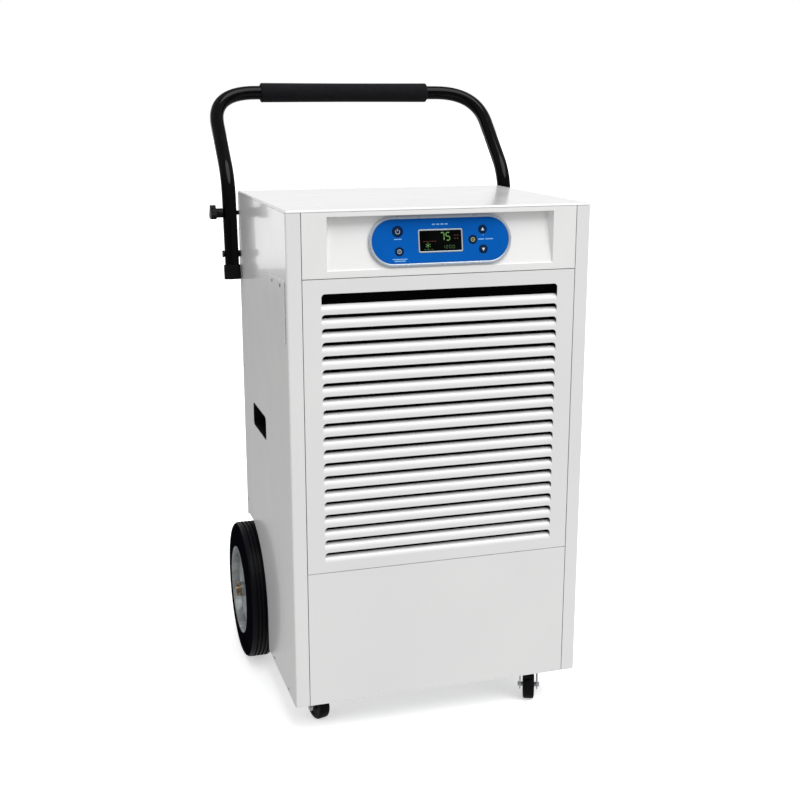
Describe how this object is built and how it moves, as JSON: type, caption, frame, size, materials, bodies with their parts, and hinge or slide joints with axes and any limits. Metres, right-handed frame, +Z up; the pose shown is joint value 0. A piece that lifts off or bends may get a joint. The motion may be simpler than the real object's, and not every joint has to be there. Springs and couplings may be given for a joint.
{
  "type": "commercial dehumidifier",
  "caption": "Upright commercial dehumidifier: white steel cabinet, louvred front, blue control panel, folding push handle, large rear wheels and front swivel castors.",
  "frame": {"origin": "on the floor, under the middle of the bounding box", "axes": "+Z up, the front faces -Y, +X to the right seen from the front"},
  "size_m": [0.6026, 0.606, 1.0695],
  "materials": {
    "white_enamel": "gloss powder coat",
    "white_plastic": "moulded, semi-gloss",
    "black_enamel": "gloss black paint",
    "black_plastic": "moulded, matt",
    "foam": "closed-cell foam sleeve",
    "rubber": "moulded rubber",
    "tyre": "solid rubber",
    "zinc": "zinc plated",
    "silver": "silver painted plastic",
    "blue_panel": "printed overlay",
    "display": "black display window",
    "key": "soft key",
    "aluminium": "finned",
    "copper": "copper tube",
    "circuit_board": "glass-epoxy board",
    "filter": "filter mat in a frame"
  },
  "bodies": {
    "cabinet": {"base_pan": "zinc", "top_cover": "white_enamel", "rear_panel": "white_enamel", "front_grille": "white_enamel", "lower_front_panel": "white_enamel", "service_cover": "white_enamel", "control_fascia": "white_plastic", "control_bezel": "silver", "control_plate": "blue_panel", "display_window": "display", "control_board": "circuit_board", "air_filter": "filter", "evaporator_coil": "aluminium", "condenser_coil": "aluminium", "drip_tray": "black_plastic", "fan_shroud": "zinc", "fan_motor": "black_enamel", "motor_bracket": "zinc", "compressor": "black_enamel", "accumulator": "black_enamel", "discharge_pipe": "copper", "suction_pipe": "copper", "electrical_box": "zinc", "drain_hose": "rubber", "drain_outlet": "black_plastic", "cable_gland": "black_plastic", "wheel_axle": "zinc", "side_panel_left": "white_enamel", "wheel_well_left": "white_enamel", "side_grip_left": "black_plastic", "pivot_bolt_left": "black_enamel", "split_pin_left": "zinc", "castor_plate_left": "zinc", "side_panel_right": "white_enamel", "wheel_well_right": "white_enamel", "side_grip_right": "black_plastic", "pivot_bolt_right": "black_enamel", "split_pin_right": "zinc", "castor_plate_right": "zinc"},
    "handle": {"handle_tube": "black_enamel", "handle_grip": "foam", "leg_cap_left": "black_plastic", "leg_cap_right": "black_plastic"},
    "knob_left": {"clamp_knob_left": "black_plastic"},
    "knob_right": {"clamp_knob_right": "black_plastic"},
    "fan": {"fan_impeller": "black_plastic"},
    "wheel_left": {"wheel_rim_left": "zinc", "tyre_left": "tyre"},
    "swivel_left": {"castor_fork_left": "zinc"},
    "roller_left": {"castor_wheel_left": "black_plastic"},
    "wheel_right": {"wheel_rim_right": "zinc", "tyre_right": "tyre"},
    "swivel_right": {"castor_fork_right": "zinc"},
    "roller_right": {"castor_wheel_right": "black_plastic"},
    "brake_right": {"castor_brake_right": "black_plastic"},
    "key_power": {"button_power": "key"},
    "key_timer": {"button_timer": "key"},
    "key_up": {"button_up": "key"},
    "key_mode": {"button_mode": "key"},
    "key_down": {"button_down": "key"}
  },
  "joints": [
    {"name": "handle_fold", "type": "hinge", "parent": "cabinet", "child": "handle", "pos_m": [0, 0.10834, 0.7678], "axis": [1, 0, 0], "range_deg": [-140, 95]},
    {"name": "knob_turn_left", "type": "hinge", "parent": "handle", "child": "knob_left", "pos_m": [-0.28, 0.11526, 0.84097], "axis": [1, 0, 0], "continuous": true},
    {"name": "knob_turn_right", "type": "hinge", "parent": "handle", "child": "knob_right", "pos_m": [0.28, 0.11526, 0.84097], "axis": [1, 0, 0], "continuous": true},
    {"name": "wheel_spin_left", "type": "hinge", "parent": "cabinet", "child": "wheel_left", "pos_m": [-0.2552, 0.07501, 0.1285], "axis": [1, 0, 0], "continuous": true},
    {"name": "wheel_spin_right", "type": "hinge", "parent": "cabinet", "child": "wheel_right", "pos_m": [0.2552, 0.07501, 0.1285], "axis": [1, 0, 0], "continuous": true},
    {"name": "swivel_turn_left", "type": "hinge", "parent": "cabinet", "child": "swivel_left", "pos_m": [-0.189, -0.24199, 0.06], "axis": [0, 0, 1], "continuous": true},
    {"name": "roller_spin_left", "type": "hinge", "parent": "swivel_left", "child": "roller_left", "pos_m": [-0.19451, -0.22276, 0.025], "axis": [-0.9613, -0.2756, 0], "continuous": true},
    {"name": "swivel_turn_right", "type": "hinge", "parent": "cabinet", "child": "swivel_right", "pos_m": [0.189, -0.24199, 0.06], "axis": [0, 0, 1], "continuous": true},
    {"name": "roller_spin_right", "type": "hinge", "parent": "swivel_right", "child": "roller_right", "pos_m": [0.18183, -0.26066, 0.025], "axis": [0.9336, -0.3584, 0], "continuous": true},
    {"name": "brake_press_right", "type": "hinge", "parent": "swivel_right", "child": "brake_right", "pos_m": [0.1804, -0.26439, 0.0531], "axis": [0.9336, -0.3584, 0], "range_deg": [0, 18]},
    {"name": "fan_spin", "type": "hinge", "parent": "cabinet", "child": "fan", "pos_m": [0, -0.07299, 0.53], "axis": [0, 1, 0], "continuous": true},
    {"name": "press_power", "type": "slide", "parent": "cabinet", "child": "key_power", "axis": [0, 0.9857, -0.1683], "range_m": [0, 0.001], "stiffness_N_per_m": 600, "springref_m": -0.0008},
    {"name": "press_timer", "type": "slide", "parent": "cabinet", "child": "key_timer", "axis": [0, 0.9857, -0.1683], "range_m": [0, 0.001], "stiffness_N_per_m": 600, "springref_m": -0.0008},
    {"name": "press_up", "type": "slide", "parent": "cabinet", "child": "key_up", "axis": [0, 0.9857, -0.1683], "range_m": [0, 0.001], "stiffness_N_per_m": 600, "springref_m": -0.0008},
    {"name": "press_mode", "type": "slide", "parent": "cabinet", "child": "key_mode", "axis": [0, 0.9857, -0.1683], "range_m": [0, 0.001], "stiffness_N_per_m": 600, "springref_m": -0.0008},
    {"name": "press_down", "type": "slide", "parent": "cabinet", "child": "key_down", "axis": [0, 0.9857, -0.1683], "range_m": [0, 0.001], "stiffness_N_per_m": 600, "springref_m": -0.0008}
  ]
}
